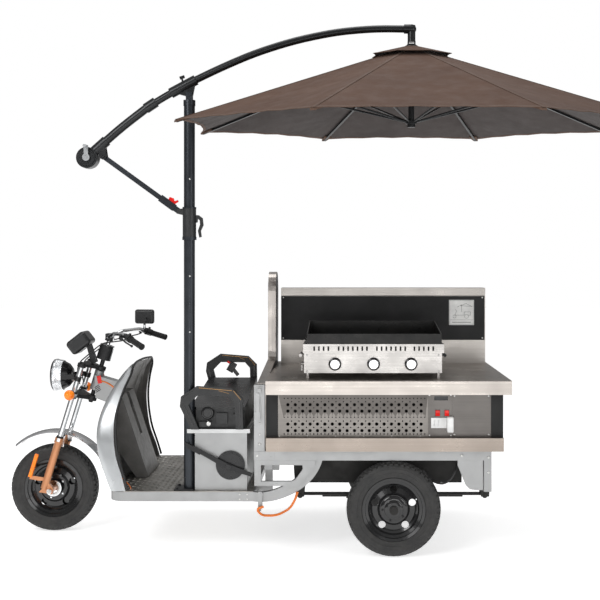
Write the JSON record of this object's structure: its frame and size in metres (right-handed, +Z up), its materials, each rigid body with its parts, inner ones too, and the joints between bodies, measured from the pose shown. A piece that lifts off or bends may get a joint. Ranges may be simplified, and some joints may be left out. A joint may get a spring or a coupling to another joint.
{
  "type": "electric cargo tricycle griddle cart",
  "caption": "Three-wheeled electric cargo cart with an open footwell and seat box, a stainless worktop with a gas griddle and splash panel over the bed, and a cantilever parasol.",
  "frame": {"origin": "middle of the whole object's box in plan, on the floor under the tyres", "axes": "+X towards the tail (the front wheel is at -X), +Y towards the vehicle's right side, +Z up"},
  "size_m": [3.4884, 2.3907, 2.834],
  "materials": {
    "silver_paint": "satin silver paint",
    "lid_paint": "satin silver paint",
    "tread_plate": "five-bar tread pattern",
    "shield_silver": "metallic silver moulding",
    "liner_grey": "grained grey moulding",
    "rubber_black": "matt",
    "battery_case": "moulded",
    "black_plastic": "grained moulding",
    "black_metal": "black powder coat",
    "cabinet_board": "black faced board",
    "splash_black": "satin black composite sheet",
    "stainless": "brushed stainless sheet",
    "pan_black": "seasoned black steel",
    "knob_silver": "turned and bright",
    "rocker_red": "clear red moulding",
    "cable_black": "matt",
    "chrome_plate": "polished",
    "copper_paint": "copper coloured castings",
    "mirror_black": "moulded",
    "signal_amber": "clear amber",
    "tyre_rubber": "block tread",
    "rim_black": "gloss black",
    "mast_steel": "dark grey powder coat",
    "boom_black": "satin black",
    "canopy_fabric": "woven polyester, brown outside and dark inside"
  },
  "bodies": {
    "chassis": {"main_frame": "silver_paint", "deck_plate": "tread_plate", "leg_shield": "shield_silver", "shield_liner": "liner_grey", "shield_trim": "rubber_black", "neck_cover": "silver_paint", "seat_box": "silver_paint", "battery_pack": "battery_case", "seat_box_lid": "lid_paint", "gear_cover": "black_plastic", "power_station": "black_plastic", "cargo_bed": "silver_paint", "bed_brackets": "silver_paint", "cabinet": "cabinet_board", "vent_panel": "black_metal", "control_panel": "black_plastic", "side_skirt": "stainless", "worktop": "stainless", "backsplash": "stainless", "splash_panel": "splash_black", "end_cheek": "stainless", "griddle_body": "stainless", "griddle_burners": "black_metal", "mast_socket": "black_metal", "rear_axle": "black_metal", "underbody_cables": "cable_black"},
    "steering": {"steering_stem": "chrome_plate", "handlebar": "chrome_plate", "handlebar_controls": "rubber_black", "headlamp": "black_plastic", "instrument_cluster": "black_plastic", "turn_signals": "signal_amber", "front_cables": "cable_black"},
    "throttle": {"throttle_grip": "rubber_black"},
    "brake_left": {"brake_lever_left": "black_metal"},
    "brake_right": {"brake_lever_right": "black_metal"},
    "mirror": {"mirror": "mirror_black"},
    "fork": {"fork_lowers": "copper_paint", "front_fender": "chrome_plate"},
    "front_wheel": {"front_tyre": "tyre_rubber", "front_rim": "rim_black"},
    "rear_wheel_left": {"rear_tyre_left": "tyre_rubber", "rear_rim_left": "rim_black"},
    "rear_wheel_right": {"rear_tyre_right": "tyre_rubber", "rear_rim_right": "rim_black"},
    "gear_lever": {"gear_lever": "black_metal"},
    "rocker_left": {"rocker_left": "rocker_red"},
    "rocker_right": {"rocker_right": "rocker_red"},
    "pan": {"griddle_pan": "pan_black"},
    "knob_left": {"knob_left": "knob_silver"},
    "knob_centre": {"knob_centre": "knob_silver"},
    "knob_right": {"knob_right": "knob_silver"},
    "mast": {"mast": "mast_steel"},
    "collar": {"mast_collar": "boom_black"},
    "boom": {"boom": "boom_black"},
    "crank": {"crank_handle": "black_metal"},
    "strut": {"strut": "mast_steel"},
    "lock_lever": {"lock_lever": "rocker_red"},
    "canopy": {"canopy_frame": "boom_black", "canopy_cloth": "canopy_fabric"}
  },
  "joints": [
    {"name": "steering", "type": "hinge", "parent": "chassis", "child": "steering", "pos_m": [-1.22978, 0.43493, 0.944], "axis": [0.2924, 0, 0.9563], "range_deg": [-40, 40]},
    {"name": "throttle_twist", "type": "hinge", "parent": "steering", "child": "throttle", "pos_m": [-0.92118, 0.81493, 1.092], "axis": [0.6511, 0.7012, -0.2905], "range_deg": [0, 70], "stiffness_Nm_per_rad": 0.25, "springref_deg": -17.19},
    {"name": "brake_left_pull", "type": "hinge", "parent": "steering", "child": "brake_left", "pos_m": [-1.05581, 0.14407, 1.13964], "axis": [0.1977, -0.2129, 0.9569], "range_deg": [0, 9], "stiffness_Nm_per_rad": 4, "springref_deg": -8.59},
    {"name": "brake_right_pull", "type": "hinge", "parent": "steering", "child": "brake_right", "pos_m": [-1.05581, 0.72579, 1.13964], "axis": [-0.1977, -0.2129, -0.9569], "range_deg": [0, 9], "stiffness_Nm_per_rad": 4, "springref_deg": -8.59},
    {"name": "mirror_swivel", "type": "hinge", "parent": "steering", "child": "mirror", "pos_m": [-1.02666, 0.70134, 1.17336], "axis": [0, 0, 1], "range_deg": [-20, 20]},
    {"name": "fork_travel", "type": "slide", "parent": "steering", "child": "fork", "axis": [0.2924, 0, 0.9563], "range_m": [0, 0.06], "stiffness_N_per_m": 26000, "springref_m": -0.08},
    {"name": "front_wheel_spin", "type": "hinge", "parent": "fork", "child": "front_wheel", "pos_m": [-1.49418, 0.43493, 0.25], "axis": [0, 1, 0], "continuous": true},
    {"name": "rear_wheel_left_spin", "type": "hinge", "parent": "chassis", "child": "rear_wheel_left", "pos_m": [0.44582, -0.11507, 0.25], "axis": [0, 1, 0], "continuous": true},
    {"name": "rear_wheel_right_spin", "type": "hinge", "parent": "chassis", "child": "rear_wheel_right", "pos_m": [0.44582, 0.98493, 0.25], "axis": [0, 1, 0], "continuous": true},
    {"name": "gear_lever_swing", "type": "hinge", "parent": "chassis", "child": "gear_lever", "pos_m": [-0.43118, -0.09007, 0.465], "axis": [0, 1, 0], "range_deg": [-12, 8]},
    {"name": "rocker_left_tip", "type": "hinge", "parent": "chassis", "child": "rocker_left", "pos_m": [0.68182, -0.08707, 0.751], "axis": [1, 0, 0], "range_deg": [0, 12]},
    {"name": "rocker_right_tip", "type": "hinge", "parent": "chassis", "child": "rocker_right", "pos_m": [0.73082, -0.08707, 0.751], "axis": [1, 0, 0], "range_deg": [0, 12]},
    {"name": "pan_lift", "type": "slide", "parent": "chassis", "child": "pan", "axis": [0, 0, 1], "range_m": [0, 0.12]},
    {"name": "knob_left_turn", "type": "hinge", "parent": "chassis", "child": "knob_left", "pos_m": [0.13482, -0.01507, 1.005], "axis": [0, -1, 0], "range_deg": [0, 120]},
    {"name": "knob_centre_turn", "type": "hinge", "parent": "chassis", "child": "knob_centre", "pos_m": [0.34282, -0.01507, 1.005], "axis": [0, -1, 0], "range_deg": [0, 120]},
    {"name": "knob_right_turn", "type": "hinge", "parent": "chassis", "child": "knob_right", "pos_m": [0.54482, -0.01507, 1.005], "axis": [0, -1, 0], "range_deg": [0, 120]},
    {"name": "mast_swivel", "type": "hinge", "parent": "chassis", "child": "mast", "pos_m": [-0.64868, -0.02507, 0.344], "axis": [0, 0, 1], "range_deg": [-170, 170]},
    {"name": "boom_tilt", "type": "hinge", "parent": "mast", "child": "boom", "pos_m": [-0.64518, -0.02507, 2.4535], "axis": [0, 1, 0], "range_deg": [-6, 2]},
    {"name": "strut_follow", "type": "hinge", "parent": "boom", "child": "strut", "pos_m": [-1.10818, -0.02507, 2.1198], "axis": [0, 1, 0], "range_deg": [-5, 13.5]},
    {"name": "collar_slide", "type": "slide", "parent": "mast", "child": "collar", "axis": [0, 0, 1], "range_m": [-0.1, 0.035]},
    {"name": "lock_lever_flip", "type": "hinge", "parent": "strut", "child": "lock_lever", "pos_m": [-0.74525, -0.02507, 1.87667], "axis": [0, 1, 0], "range_deg": [0, 25]},
    {"name": "crank_turn", "type": "hinge", "parent": "boom", "child": "crank", "pos_m": [-1.19418, -0.02507, 2.1144], "axis": [0, 1, 0], "continuous": true},
    {"name": "canopy_tilt", "type": "hinge", "parent": "boom", "child": "canopy", "pos_m": [0.54682, -0.02507, 2.722], "axis": [1, 0, 0], "range_deg": [-8, 15]}
  ],
  "couplings": [
    {"joint": "strut_follow", "follows": "boom_tilt", "ratio": -2.14},
    {"joint": "collar_slide", "follows": "boom_tilt", "m_per_rad": 0.9}
  ]
}
